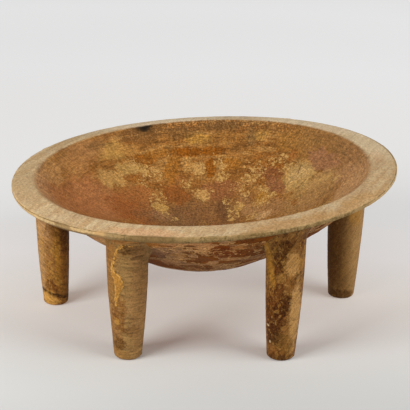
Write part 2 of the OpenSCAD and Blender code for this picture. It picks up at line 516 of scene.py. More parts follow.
def makeMottleGroup():
    # uneven ageing of wood at three sizes
    outputs = ["Broad", "Middling", "Fine", "Ragged"]
    tree, given, out = newGroup("agedMottle", {"Point": (0, 0, 0), "Size": 40.0}, outputs)
    size = given["Size"]
    broad = noiseAt(given["Point"], size, 4.0, 0.6, 0.6)
    shifted = vectorMaths("ADD", given["Point"], (310.0, 170.0, 90.0))
    middling = noiseAt(shifted, times(size, 0.3), 5.0, 0.65, 0.4)
    fine = noiseAt(shifted, times(size, 0.07), 3.0, 0.7)
    moved = vectorMaths("ADD", given["Point"], (-120.0, 440.0, 30.0))
    edge = noiseAt(moved, times(size, 0.35), 8.0, 0.72, 0.3)
    link(ramp(broad, 0.34, 0.66), out["Broad"])
    link(ramp(middling, 0.34, 0.66), out["Middling"])
    link(ramp(fine, 0.3, 0.7), out["Fine"])
    link(timesPlus(edge, 2.4, -1.2), out["Ragged"])
    return tree


def makeFibreGroup():
    # wood fibres, long where Stretch is small
    inputs = {"Point": (0, 0, 0), "Stretch": (0.07, 1.0, 1.0), "Size": 4.0}
    tree, given, out = newGroup("woodFibre", inputs, ["Streaks", "Pores", "Height"])
    long = vectorMaths("MULTIPLY", given["Point"], given["Stretch"])
    streaks = noiseAt(long, given["Size"], 5.0, 0.65, 0.25)
    pores = noiseAt(scaled(long, 1.6), times(given["Size"], 0.45), 2.0, 0.5)
    streakMask = ramp(streaks, 0.34, 0.66)
    poreMask = ramp(pores, 0.6, 0.72)
    link(streakMask, out["Streaks"])
    link(poreMask, out["Pores"])
    link(maths("SUBTRACT", times(streakMask, 0.7), poreMask), out["Height"])
    return tree


def makeSpeckGroup():
    # small ragged specks, scattered
    inputs = {"Point": (0, 0, 0), "Size": 5.0, "Amount": 0.3}
    tree, given, out = newGroup("scatteredSpecks", inputs, ["Mask"])
    scale = maths("DIVIDE", 1.0, given["Size"])
    wobble = noiseAt(given["Point"], times(given["Size"], 0.5), 2.0, 0.5)
    inputs = {"Vector": given["Point"], "Scale": scale, "Randomness": 1.0}
    cells = addNode("TexVoronoi", inputs).outputs
    chance = addNode("SeparateColor", {0: cells["Color"]}).outputs[0]
    reach = times(maths("SUBTRACT", given["Amount"], chance), 0.9)
    broken = timesPlus(wobble, 0.3, cells["Distance"])
    link(ramp(maths("SUBTRACT", reach, broken), -0.16, 0.0), out["Mask"])
    return tree


def makeGritGroup():
    # fine speckle
    tree, given, out = newGroup("fineGrit", {"Point": (0, 0, 0), "Size": 2.0}, ["Mask"])
    speckle = noiseAt(given["Point"], given["Size"], 3.0, 0.7)
    link(ramp(speckle, 0.35, 0.65), out["Mask"])
    return tree


def makeLineGroup():
    # thin curling lines, fading from Thin to Wide
    inputs = {"Point": (0, 0, 0), "Size": 12.0, "Detail": 3.0, "Twist": 1.0, "Wide": 0.03, "Thin": 0.01}
    tree, given, out = newGroup("curledLines", inputs, ["Mask"])
    level = noiseAt(given["Point"], given["Size"], given["Detail"], 0.6, given["Twist"])
    offLine = maths("ABSOLUTE", maths("SUBTRACT", level, 0.5))
    link(ramp(offLine, given["Wide"], given["Thin"]), out["Mask"])
    return tree


ovalPatch = makeOvalGroup()
agedMottle = makeMottleGroup()
woodFibre = makeFibreGroup()
scatteredSpecks = makeSpeckGroup()
fineGrit = makeGritGroup()
curledLines = makeLineGroup()
print("shader groups made")

dryWood = {"specular": 0.06, "bump": 0.4, "bumpDepth": 0.0007}


def startMaterial(name):
    # its last value is the point in mm
    material = bpy.data.materials.new(name)
    material.use_nodes = True
    shader = material.node_tree.nodes["Principled BSDF"]
    coords = addNode("TexCoord", {}, material.node_tree).outputs["Object"]
    return material, shader, scaled(coords, 1000.0)


def finishWood(shader, colour, dull, height):
    link(colour, shader.inputs["Base Color"])
    link(dull, shader.inputs["Roughness"])
    shader.inputs["Specular IOR Level"].default_value = dryWood["specular"]
    inputs = {"Strength": dryWood["bump"], "Distance": dryWood["bumpDepth"], "Height": height}
    link(addNode("Bump", inputs).outputs[0], shader.inputs["Normal"])


def addPatches(point, ragged, colour, kind, rows):
    # kind makes each row into middle, reach, turn in degrees, colour, strength, edge roughness and softness
    for row in rows:
        middle, reach, turn, tone, strength, rough, soft = kind(*row)
        inputs = {"Point": point, "Middle": middle, "Reach": reach, "Softness": soft,
                  "Turn": tuple(math.radians(t) for t in turn), "Ragged": times(ragged, rough)}
        colour = mixed(useGroup(ovalPatch, inputs)["Mask"], colour, tone, strength)
    return colour


# finishes of the bowl

terracotta, rust, duskBrown = (168, 106, 60), (150, 86, 40), (136, 93, 54)
burntOrange, amber, redBrown = (134, 76, 14), (150, 96, 34), (138, 80, 34)
tan, paleOlive = (182, 138, 78), (184, 146, 86)

hollowFinish = {
    "base": (149, 101, 47), "warm": (141, 89, 37), "light": (174, 131, 73), "dark": (90, 56, 24),
    "crust": (210, 168, 102), "crustLow": (180, 134, 70), "lipBand": (178, 134, 90), "lipDark": (92, 60, 26),
    "rayDark": (84, 60, 36), "bottom": (0, 50, 120), "bottomReach": (66, 44, 900),
    "streaks": 0.22, "rays": 0.15, "grit": 0.4, "fine": 0.26, "roughness": (0.5, 0.7),
    # size and amount of specks, then the lines of lifted crust
    "pits": (4.2, 0.45), "dots": (3.5, 0.4),
    "lace": {"Size": 10.0, "Detail": 3.0, "Twist": 1.6, "Wide": 0.026, "Thin": 0.008},
}


def flat(x, y, rx, ry, tilt, tone, strength=0.8, rough=0.9, soft=0.2):
    # a stain, or painted light, seen in plan, right through the bowl's height, with its length at this tilt
    return ((x, y, 120.0), (rx, ry, 900.0), (0, 0, -tilt), tone, strength, rough, soft)


# flat stains, placed with points and tones read off the photo, made up on the side that is hidden
hollowStains = [
    (-128, 18, 36, 48, 0, (174, 112, 66), 0.85, 0.6, 0.4),
    (-150, -45, 44, 56, 0, terracotta, 0.8, 0.7, 0.4),
    (-80, 34, 36, 30, 30, rust, 0.85, 0.8, 0.3),
    (-82, 70, 26, 15, 35, (158, 98, 50), 0.8, 0.9, 0.25),
    (176, 50, 22, 56, 6, (150, 108, 66), 0.75, 0.8, 0.35),
    (128, 22, 32, 32, -70, (166, 126, 70), 0.75, 0.9, 0.3),
    (122, 130, 34, 18, -45, (160, 112, 50), 0.6, 0.9, 0.3),
    (152, 108, 46, 26, -42, (144, 102, 54), 0.75, 1.0, 0.4),
    (132, -2, 42, 34, 0, (160, 117, 70), 0.6, 1.1, 0.4),
    (6, 54, 54, 32, 0, duskBrown, 0.8, 1.3, 0.65),
    (-22, 54, 27, 23, 0, (132, 90, 54), 0.65, 1.3, 0.65),
    (-46, 34, 32, 22, 0, (126, 90, 56), 0.7, 1.3, 0.65),
    (27, 60, 9, 26, 0, (104, 67, 40), 0.7, 1.2, 0.4),
    (20, 96, 27, 16, 0, (142, 88, 50), 0.8, 0.9, 0.2),
    (-34, 86, 18, 16, 0, redBrown, 0.85, 0.9, 0.2),
    (-31, 110, 12, 10, 0, (146, 90, 42), 0.7, 1.2, 0.25),
    (-76, 131, 15, 11, 35, burntOrange, 0.75, 0.9, 0.2),
    (-62, 146, 16, 6, 25, amber, 0.7, 1.0, 0.2),
    (-20, 155, 23, 6.5, 6, burntOrange, 0.9, 0.8, 0.15),
    (-40, 128, 9, 24, -8, amber, 0.8, 1.0, 0.2),
    (10, 156, 16, 6, -3, burntOrange, 0.8, 0.9, 0.2),
    (8, 132, 7, 13, 0, burntOrange, 0.9, 1.2, 0.15),
    (34, 134, 16, 9, -10, amber, 0.85, 0.9, 0.2),
    (24, 132, 7, 4, 0, tan, 0.7, 1.0, 0.2),
    (-21, 136, 9, 12, 0, (174, 128, 68), 0.75, 1.4, 0.2),
    (-5, 131, 8, 11, 0, tan, 0.8, 1.4, 0.2),
    (-10, 175, 16, 8, 0, (178, 130, 58), 0.7, 1.0, 0.3),
    (74, 165, 11, 8, -20, (172, 126, 60), 0.7, 1.0, 0.3),
    (61, 166, 6, 17, 0, (122, 90, 50), 0.65, 1.1, 0.4),
    (-95, 109, 20, 8, 30, (178, 138, 76), 0.85, 1.6, 0.3),
    (-114, 82, 23, 13, 48, (184, 140, 78), 0.85, 1.6, 0.25),
    (-119, 128, 23, 13, 42, (178, 134, 68), 0.8, 1.6, 0.25),
    (-96, 141, 15, 8, 35, (174, 124, 62), 0.7, 1.0, 0.3),
    (-182, 26, 13, 26, 0, (176, 126, 72), 0.8, 1.0, 0.3),
    (-150, 108, 30, 13, 55, (162, 113, 65), 0.75, 1.0, 0.35),
    (166, -48, 15, 52, -17, (186, 140, 92), 0.85, 0.8, 0.35),
    (-88, 96, 12, 6, 25, (148, 92, 36), 0.8, 1.0, 0.2),
    (-160, 76, 26, 14, 65, (170, 118, 66), 0.7, 1.0, 0.3),
    (84, 112, 27, 12, -38, (136, 82, 30), 0.8, 1.1, 0.2),
    (73, 62, 8, 14, 0, (168, 116, 44), 0.75, 1.0, 0.2),
    (52, 66, 7, 18, 0, (150, 104, 64), 0.6, 0.9, 0.3),
    (119, 71, 20, 27, 12, paleOlive, 0.85, 0.8, 0.3),
    (121, 76, 13, 11, 0, (192, 154, 98), 0.7, 0.9, 0.4),
    (86, 100, 18, 8, -40, (134, 82, 44), 0.9, 1.1, 0.12),
    (90, 76, 20, 9, -68, (136, 86, 52), 0.9, 0.9, 0.12),
    (57, 50, 9, 13, 0, (174, 128, 78), 0.65, 1.0, 0.3),
    (82, 34, 24, 17, -20, (158, 114, 70), 0.7, 1.2, 0.3),
    (74, 26, 10, 8, -10, (196, 152, 100), 0.8, 1.2, 0.3),
    (-50, 44, 13, 12, 0, (152, 108, 70), 0.7, 1.0, 0.3),
    (148, 74, 11, 34, 22, (154, 106, 70), 0.85, 0.9, 0.15),
    (144, 40, 16, 14, -20, (178, 136, 82), 0.6, 1.1, 0.35),
    (170, 10, 12, 22, 10, (174, 128, 84), 0.65, 1.0, 0.35),
    (120, 84, 0.9, 8, -20, (96, 66, 34), 0.8, 0.5, 0.4),
    (120, 53, 7, 0.9, 40, (104, 72, 38), 0.7, 0.5, 0.4),
    (-2, 89, 10, 6.5, -18, (194, 146, 82), 0.75, 1.3, 0.1),
    (-52, 59, 10, 8, 20, (196, 150, 78), 0.85, 1.3, 0.1),
    (46, 60, 6, 7, 0, (190, 144, 74), 0.75, 1.3, 0.12),
    (113, 116, 7, 9, 0, (146, 90, 40), 0.7, 1.0, 0.2),
    (111, 22, 3, 9, 0, (140, 86, 32), 0.7, 1.0, 0.3),
    (-30, 181, 24, 8, 8, (108, 74, 36), 0.7, 1.2, 0.3),
    (-80, 166, 24, 8, 28, (116, 78, 38), 0.65, 1.2, 0.3),
    (26, 190, 28, 6, -4, (104, 72, 36), 0.75, 1.2, 0.3),
    (-140, 124, 14, 6, 50, (116, 80, 40), 0.6, 1.2, 0.3),
    (0, -34, 54, 38, 0, duskBrown, 0.6, 1.2, 0.35),
    (-96, -132, 20, 12, -40, (178, 134, 72), 0.75, 1.5, 0.25),
    (70, -52, 22, 14, 30, (172, 128, 68), 0.7, 1.5, 0.25),
    (-34, -100, 16, 12, 0, redBrown, 0.75, 1.2, 0.25),
    (128, -112, 26, 10, 45, (136, 84, 34), 0.7, 1.3, 0.25),
    (60, -160, 30, 8, 18, (118, 80, 40), 0.6, 1.3, 0.3),
    (-130, -70, 12, 22, 20, (152, 96, 44), 0.7, 1.3, 0.25),
    (-62, -84, 40, 26, -40, rust, 0.7, 0.9, 0.3),
    (30, -112, 44, 16, 12, burntOrange, 0.6, 1.0, 0.25),
    (104, -74, 24, 44, -30, (166, 122, 66), 0.7, 1.0, 0.3),
    (-20, -156, 56, 12, -6, (132, 90, 44), 0.6, 1.0, 0.3),
]
burnMarks = [
    (-85, 179, 12, 6, 25, (86, 58, 28), 0.75, 0.8, 0.6),
    (-79, 181, 10, 6, 25, (34, 27, 16), 1.0, 0.6, 0.65),
]

rimFinish = {
    "base": (196, 173, 134), "streak": (180, 145, 103), "grey": (188, 168, 134), "warm": (184, 144, 96),
    "speck": (116, 78, 42), "edge": (178, 148, 102), "mould": (138, 112, 70), "fleck": (88, 70, 36),
    # the darkest tone colours the crack and also the painted shade under the rim
    "seam": (72, 52, 28), "grainTurn": 68.0, "grainStretch": (0.05, 1.0, 1.0), "grainSize": 7.5,
    "specks": (4.0, 0.36), "roughness": 0.78,
}
# flat stains: browner and dirtier parts of the rim, and pale patches at the back that are partly painted
# light
rimStainsAndLight = [
    (95, -200, 70, 14, 26, (170, 128, 78), 0.7, 1.0, 0.4),
    (170, -140, 50, 12, 50, (180, 137, 84), 0.6, 1.0, 0.4),
    (-60, -208, 40, 10, -16, (196, 148, 104), 0.6, 1.0, 0.4),
    (-198, -80, 30, 9, -66, (186, 152, 112), 0.5, 1.0, 0.4),
    (206, 10, 8, 30, 0, (190, 146, 104), 0.5, 1.0, 0.4),
    # these three: the rim's own pale wood with a painted highlight at the back and right
    (130, 168, 90, 34, -38, (224, 202, 168), 0.6, 0.6, 0.5),
    (-60, 200, 100, 24, 14, (224, 202, 170), 0.6, 0.6, 0.5),
    (204, 60, 24, 60, 16, (212, 190, 154), 0.6, 0.6, 0.5),
    (-206, -40, 26, 80, 10, (172, 144, 104), 0.5, 0.6, 0.5),
]
# flat stains: mould on the edge, in front
edgeStains = [
    (-52, -219, 26, 3.2, -13, (112, 86, 50), 0.65, 1.2, 0.5),
    (-148, -170, 14, 1.8, -41, (96, 72, 40), 0.6, 0.8, 0.5),
    (52, -218, 16, 2.2, 13, (122, 92, 54), 0.4, 1.3, 0.5),
    (-104, -199, 8, 3, -27, (196, 152, 98), 0.5, 1.4, 0.5),
]
bellyFinish = {
    "bare": (172, 126, 76), "grey": (138, 100, 68), "coat": (126, 68, 16), "dark": (102, 54, 12),
    # gap: painted shadow beside a lifted layer
    "lifted": (212, 166, 102), "gap": (60, 36, 14), "layers": (0.43, 0.81),
}


def face(x, z, rx, rz, tone, strength=0.8, rough=0.9, soft=0.2, y=-170.0):
    # a stain on the front of the belly
    return ((x, y, z), (rx, 60.0, rz), (0, 0, 0), tone, strength, rough, soft)


bellyStains = [
    (-112, 126, 15, 16, (174, 130, 84), 0.85, 0.8, 0.3, -115),
    (-40, 124, 18, 14, (126, 90, 64), 0.85, 0.9, 0.25, -155),
    (-24, 122, 10, 4, (156, 110, 62), 0.8, 1.2, 0.1, -155),
    (-52, 140, 15, 5, (156, 102, 48), 0.8, 1.0, 0.15, -175),
    (-12, 143, 30, 5, (170, 122, 76), 0.85, 0.8, 0.15, -180),
    (5, 134, 13, 9, (178, 130, 80), 0.9, 0.9, 0.1),
    (-13, 142, 6, 1.6, (104, 62, 24), 0.9, 0.8, 0.1, -180),
    (-12, 128, 8, 3.5, (104, 58, 20), 0.95, 0.8, 0.06),
    (-1, 113, 13, 5, (116, 68, 28), 0.95, 0.8, 0.06, -148),
    (12, 104, 7, 4, (174, 128, 82), 0.9, 0.9, 0.1, -133),
    (-6, 92, 20, 5, (116, 66, 26), 0.9, 0.9, 0.08, -115),
    (25, 129, 18, 14, (112, 52, 6), 0.95, 0.7, 0.06, -165),
    (58, 134, 13, 8, (110, 60, 16), 0.9, 0.9, 0.1, -160),
    (69, 130, 6, 7, (84, 54, 24), 0.85, 0.9, 0.15, -150),
    (36, 110, 18, 3.5, (172, 126, 78), 0.8, 1.0, 0.1, -140),
    (40, 101, 16, 4, (126, 78, 38), 0.85, 0.9, 0.1, -122),
    (41, 136, 7, 5, (152, 98, 46), 0.85, 1.0, 0.12, -165),
    (-34, 102, 11, 7, (160, 114, 74), 0.85, 1.0, 0.2, -130),
]


# sizes of the patterns on the bowl; streaks: size round the bowl, size down it, detail
bowlPattern = {
    "mottle": 46.0, "small": 20.0, "grit": 2.4,
    "weave": (8.0, 2.2, 4.0), "bands": (34.0, 6.0, 6.0), "rays": (2.2, 34.0, 4.0),
}
streakRadius = 130.0  # distance from the axis at which the sizes round the bowl are true


def roundBowl(point):
    # direction and distance from the bowl's axis, so that streaks run round it or down it without a seam
    parts = addNode("SeparateXYZ", {0: point}).outputs
    level = addNode("CombineXYZ", {0: parts[0], 1: parts[1]}).outputs[0]
    away = addNode("VectorMath", {0: level}, operation="LENGTH").outputs["Value"]
    return addNode("VectorMath", {0: level}, operation="NORMALIZE").outputs[0], away


def roundStreaks(direction, away, aroundSize, downSize, detail):
    outward = addNode("CombineXYZ", {2: maths("DIVIDE", away, downSize)}).outputs[0]
    spot = vectorMaths("ADD", scaled(direction, streakRadius / aroundSize), outward)
    return ramp(noiseAt(spot, 1.0, detail, 0.65), 0.34, 0.66)


def specks(point, size, amount):
    return useGroup(scatteredSpecks, {"Point": point, "Size": size, "Amount": amount})["Mask"]


def bowlMasks(point):
    # what hollow, rim and belly share
    s, m = bowlPattern, SimpleNamespace()
    for name in ("along", "crust", "peel", "spots"):
        setattr(m, name, attribute(point.id_data, name))
    m.x, m.y = addNode("SeparateXYZ", {0: point}).outputs[:2]
    m.mottle = useGroup(agedMottle, {"Point": point, "Size": s["mottle"]})
    m.small = useGroup(agedMottle, {"Point": point, "Size": s["small"]})
    m.grit = useGroup(fineGrit, {"Point": point, "Size": s["grit"]})["Mask"]
    m.ragged = timesPlus(m.mottle["Ragged"], 0.65, times(m.small["Ragged"], 0.7))
    direction, m.away = roundBowl(point)
    for name in ("weave", "bands", "rays"):
        setattr(m, name, roundStreaks(direction, m.away, *s[name]))
    return m


def paintHollow(point, m):
    # years of drink soaked in, in patches
    h, ragged, fine = hollowFinish, m.small["Ragged"], m.small["Fine"]
    upTheWall = ramp(m.away, 80.0, 150.0, 0.25, 1.0)
    colour = mixed(m.mottle["Broad"], h["base"], h["warm"])
    colour = mixed(times(ramp(m.bands, 0.55, 0.95), upTheWall), colour, h["light"], 0.55)
    colour = mixed(times(ramp(m.bands, 0.45, 0.05), upTheWall), colour, h["dark"], 0.5)
    colour = addPatches(point, m.ragged, colour, flat, hollowStains)
    colour = mixed(ramp(ragged, 0.12, 0.36), colour, h["light"], 0.28)
    colour = mixed(ramp(ragged, -0.12, -0.36), colour, h["dark"], 0.34)
    streaks = times(maths("SUBTRACT", m.weave, 0.5), times(upTheWall, 2.0 * h["streaks"]))
    # smoother on the two side walls
    gritShare = times(ramp(m.x, -130.0, -50.0, 0.4, 1.0), ramp(m.x, 150.0, 80.0, 0.7, 1.0))
    gritTone = timesPlus(timesPlus(m.grit, 2.0, -1.0), times(gritShare, h["grit"]), 1.0)
    tone = times(maths("ADD", streaks, 1.0), gritTone, contrast(fine, h["fine"]), contrast(m.rays, h["rays"]))
    colour = scaled(colour, tone)
    inputs = {"Point": point, "Middle": h["bottom"], "Reach": h["bottomReach"], "Softness": 0.5}
    bottom = useGroup(ovalPatch, inputs)["Mask"]
    colour = mixed(times(ramp(m.rays, 0.5, 0.9), bottom), colour, h["rayDark"], 0.45)
    colour = mixed(specks(point, *h["pits"]), colour, h["dark"], 0.5)

    # crust with painted shade round its foot, loose dots of it, and curled edges where it has lifted
    brokenCrust = timesPlus(fine, 0.4, m.crust)
    crustTop = ramp(brokenCrust, 0.5, 0.75)
    crustFootShadow = maths("SUBTRACT", ramp(brokenCrust, 0.25, 0.45), crustTop)
    # painted shade: darker round the foot of the crust
    colour = mixed(crustFootShadow, colour, h["dark"], 0.4)
    crustTone = mixed(fine, h["crustLow"], h["crust"])
    colour = mixed(crustTop, colour, crustTone, 0.85)
    dots = times(specks(point, *h["dots"]), ramp(m.spots, -0.95, 0.0))
    colour = mixed(dots, colour, crustTone, 0.75)
    nearSpot = ramp(timesPlus(ragged, 0.8, m.spots), -0.1, 0.3)
    lace = times(useGroup(curledLines, {"Point": point, **h["lace"]})["Mask"], nearSpot)
    colour = mixed(lace, colour, crustTone, 0.75)

    # dirt under the lip at the back, a pale band under it in front
    atBack = times(ramp(m.y, 40.0, 150.0), ramp(m.x, -150.0, -90.0), ramp(m.x, 180.0, 40.0))
    dirt = times(ramp(timesPlus(ragged, 9.0, m.along), -26.0, -8.0), atBack, ramp(m.grit, 0.85, 0.25))
    colour = mixed(dirt, colour, h["lipDark"], 0.75)
    lipTone = scaled(screenColour(*h["lipBand"]), tone)
    softLip = ramp(timesPlus(ragged, 4.0, m.along), -32.0, -2.0)
    lipBand = times(softLip, ramp(m.y, 35.0, -15.0, 0.1, 0.75))
    colour = mixed(lipBand, colour, lipTone)
    return addPatches(point, m.ragged, colour, flat, burnMarks), crustTop


def paintRim(point, m):
    # dry pale wood with its grain showing
    r, ragged = rimFinish, m.small["Ragged"]
    grainPoint = turned(point, 0, 0, -r["grainTurn"])
    inputs = {"Point": grainPoint, "Stretch": r["grainStretch"], "Size": r["grainSize"]}
    fibre = useGroup(woodFibre, inputs)
    colour = mixed(fibre["Streaks"], r["streak"], r["base"])
    colour = mixed(m.mottle["Broad"], colour, r["grey"], 0.6)
    colour = mixed(m.mottle["Middling"], colour, r["warm"], 0.45)
    colour = addPatches(point, m.ragged, colour, flat, rimStainsAndLight)
    colour = scaled(colour, times(contrast(fibre["Streaks"], 0.05), contrast(m.grit, 0.2)))
    colour = mixed(fibre["Pores"], colour, r["speck"], 0.25)
    colour = mixed(specks(point, *r["specks"]), colour, r["speck"], 0.6)
    roughAlong = timesPlus(ragged, 0.8, m.along)
    edgeTone = scaled(screenColour(*r["edge"]), contrast(m.grit, 0.25))
    colour = mixed(ramp(roughAlong, 26.4, 27.8), colour, edgeTone, 0.85)

    # a dark crack along the edge, and mould in its place at the front
    inFront = times(ramp(m.x, -120.0, -70.0), ramp(m.y, -110.0, -180.0))
    behind = maths("SUBTRACT", 1.0, inFront)
    crack = times(ramp(roughAlong, 27.6, 28.4), ramp(roughAlong, 29.4, 28.6),
                  ramp(m.mottle["Ragged"], -0.3, 0.1), behind)
    colour = mixed(crack, colour, r["seam"], 0.75)
    damp = times(ramp(timesPlus(ragged, 4.0, m.along), 26.0, 29.5), inFront)
    colour = mixed(damp, colour, r["mould"], 0.75)
    thick = timesPlus(m.ragged, 0.55, ramp(m.along, 22.0, 30.0, 0.0, 0.6))
    flecks = times(ramp(thick, 0.42, 0.72), ramp(m.grit, 0.1, 0.6), timesPlus(inFront, 0.85, 0.15))
    colour = mixed(flecks, colour, r["fleck"], 0.9)
    colour = addPatches(point, m.ragged, colour, flat, edgeStains)
    # painted shade along the rim's lower corner and under the rim, stronger behind
    seam = times(ramp(roughAlong, 31.4, 33.0), timesPlus(behind, 0.4, 0.3))
    return mixed(seam, colour, r["seam"]), fibre["Height"]


def paintBelly(point, m):
    # a dark coat that has flaked off in layers, each with a pale edge and painted shadow in the gap beside it
    b, fine = bellyFinish, m.small["Fine"]
    bare = mixed(m.mottle["Middling"], b["bare"], b["grey"])
    coat = mixed(m.small["Broad"], b["coat"], b["dark"])
    flatPoint = vectorMaths("MULTIPLY", point, (1.0, 1.0, 2.0))
    flakes = noiseAt(flatPoint, 36.0, 8.0, 0.62, 0.5)
    layers = timesPlus(flakes, 2.6, timesPlus(m.peel, 0.5, -1.1))
    flatRagged = timesPlus(noiseAt(flatPoint, 14.0, 8.0, 0.66, 0.4), 2.4, -1.2)

    def between(level, rise, fall):
        # a strip of the layers beside this level
        up = ramp(layers, level + rise[0], level + rise[1])
        return times(up, ramp(layers, level + fall[0], level + fall[1]))

    upper, lower = b["layers"]
    colour = mixed(ramp(layers, upper - 0.03, upper + 0.03), coat, bare, 0.9)
    colour = mixed(ramp(layers, lower - 0.03, lower + 0.03), colour, b["grey"], 0.85)
    colour = addPatches(point, flatRagged, colour, face, bellyStains)
    for level in b["layers"]:
        colour = mixed(between(level, (-0.02, 0.02), (0.1, 0.04)), colour, b["lifted"], 0.5)
        # painted shadow in the gap beside each lifted layer
        colour = mixed(between(level, (-0.12, -0.05), (0.0, -0.04)), colour, b["gap"], 0.5)
    tone = times(contrast(m.weave, 0.2), contrast(fine, 0.2), contrast(m.grit, 0.28))
    return scaled(colour, tone)


def bowlMaterial():
    material, shader, point = startMaterial("bowlWood")
    m = bowlMasks(point)
    hollow, crustTop = paintHollow(point, m)
    rim, fibreHeight = paintRim(point, m)
    belly = paintBelly(point, m)
    # over the lip from the hollow to the rim, further out at the back, then under the rim to the belly
    pastLip = maths("SUBTRACT", m.along, ramp(m.y, 40.0, 150.0))
    pastLip = timesPlus(m.small["Ragged"], 2.0, pastLip)
    overLip = ramp(maths("DIVIDE", pastLip, ramp(m.y, 60.0, 0.0, 1.0, 2.0)), -3.0, 1.6)
    underRim = ramp(timesPlus(m.mottle["Ragged"], 7.0, m.along), 36.0, 44.0)
    colour = mixed(underRim, mixed(overLip, hollow, rim), belly)
    low, high = hollowFinish["roughness"]
    dull = timesPlus(m.small["Middling"], high - low, low)
    dull = maths("MAXIMUM", dull, times(overLip, rimFinish["roughness"]))
    height = timesPlus(crustTop, 0.8, times(m.small["Fine"], 0.6))
    height = timesPlus(fibreHeight, times(overLip, 0.6), height)
    height = timesPlus(m.weave, 0.4, timesPlus(m.grit, 0.5, height))
    finishWood(shader, colour, dull, height)
    return material


# finishes of the legs

# tones, slope of the fibres in degrees, then the strength of fibres, speckle, blotches, veins and flecks
finishKeys = ("base", "light", "dark", "slope", "fibre", "grit", "blotch", "vein", "fleck")
legFinish = {node: dict(zip(finishKeys, row)) for node, *row in (
    ("leg_left", (129, 81, 37), (176, 130, 68), (80, 46, 16), -34.0, 0.28, 0.5, 0.58, 0.6, 0.35),
    ("leg_front_left", (142, 108, 62), (168, 134, 84), (96, 68, 34), 0.0, 0.28, 0.42, 0.4, 0.1, 0.35),
    ("leg_front_right", (106, 62, 24), (180, 134, 70), (66, 34, 8), 50.0, 0.24, 0.55, 0.6, 0.45, 0.6),
    ("leg_right", (130, 94, 50), (166, 126, 74), (72, 44, 18), 56.0, 0.14, 0.4, 0.3, 0.1, 0.3),
    ("leg_back_right", (136, 96, 48), (174, 128, 70), (84, 52, 20), 20.0, 0.2, 0.45, 0.5, 0.3, 0.45),
    ("leg_back_left", (140, 100, 52), (176, 132, 74), (86, 52, 20), -12.0, 0.24, 0.45, 0.5, 0.4, 0.4),
)}
# what all the legs share
legLook = {
    "vein": (196, 144, 64), "drip": (184, 136, 64), "dripMiddle": (156, 106, 42), "roughness": (0.48, 0.68),
    "mottle": 34.0, "small": 15.0, "grit": 2.1,
    "fibre": {"Stretch": (0.13, 0.18, 1.0), "Size": 2.1},
    "coarse": {"Stretch": (0.34, 0.45, 1.0), "Size": 7.0},
    "veins": {"Size": 15.0, "Detail": 4.0, "Twist": 0.5, "Wide": 0.035, "Thin": 0.01},
}


def ball(x, y, z, rx, rz, tone, strength=0.8, rough=0.7, soft=0.25, lean=0.0):
    # a stain, or painted light or shade, on the outside of a leg, with its height along the leg
    return ((x, y, z), (rx, 16.0, rz), (0, lean, 0), tone, strength, rough, soft)
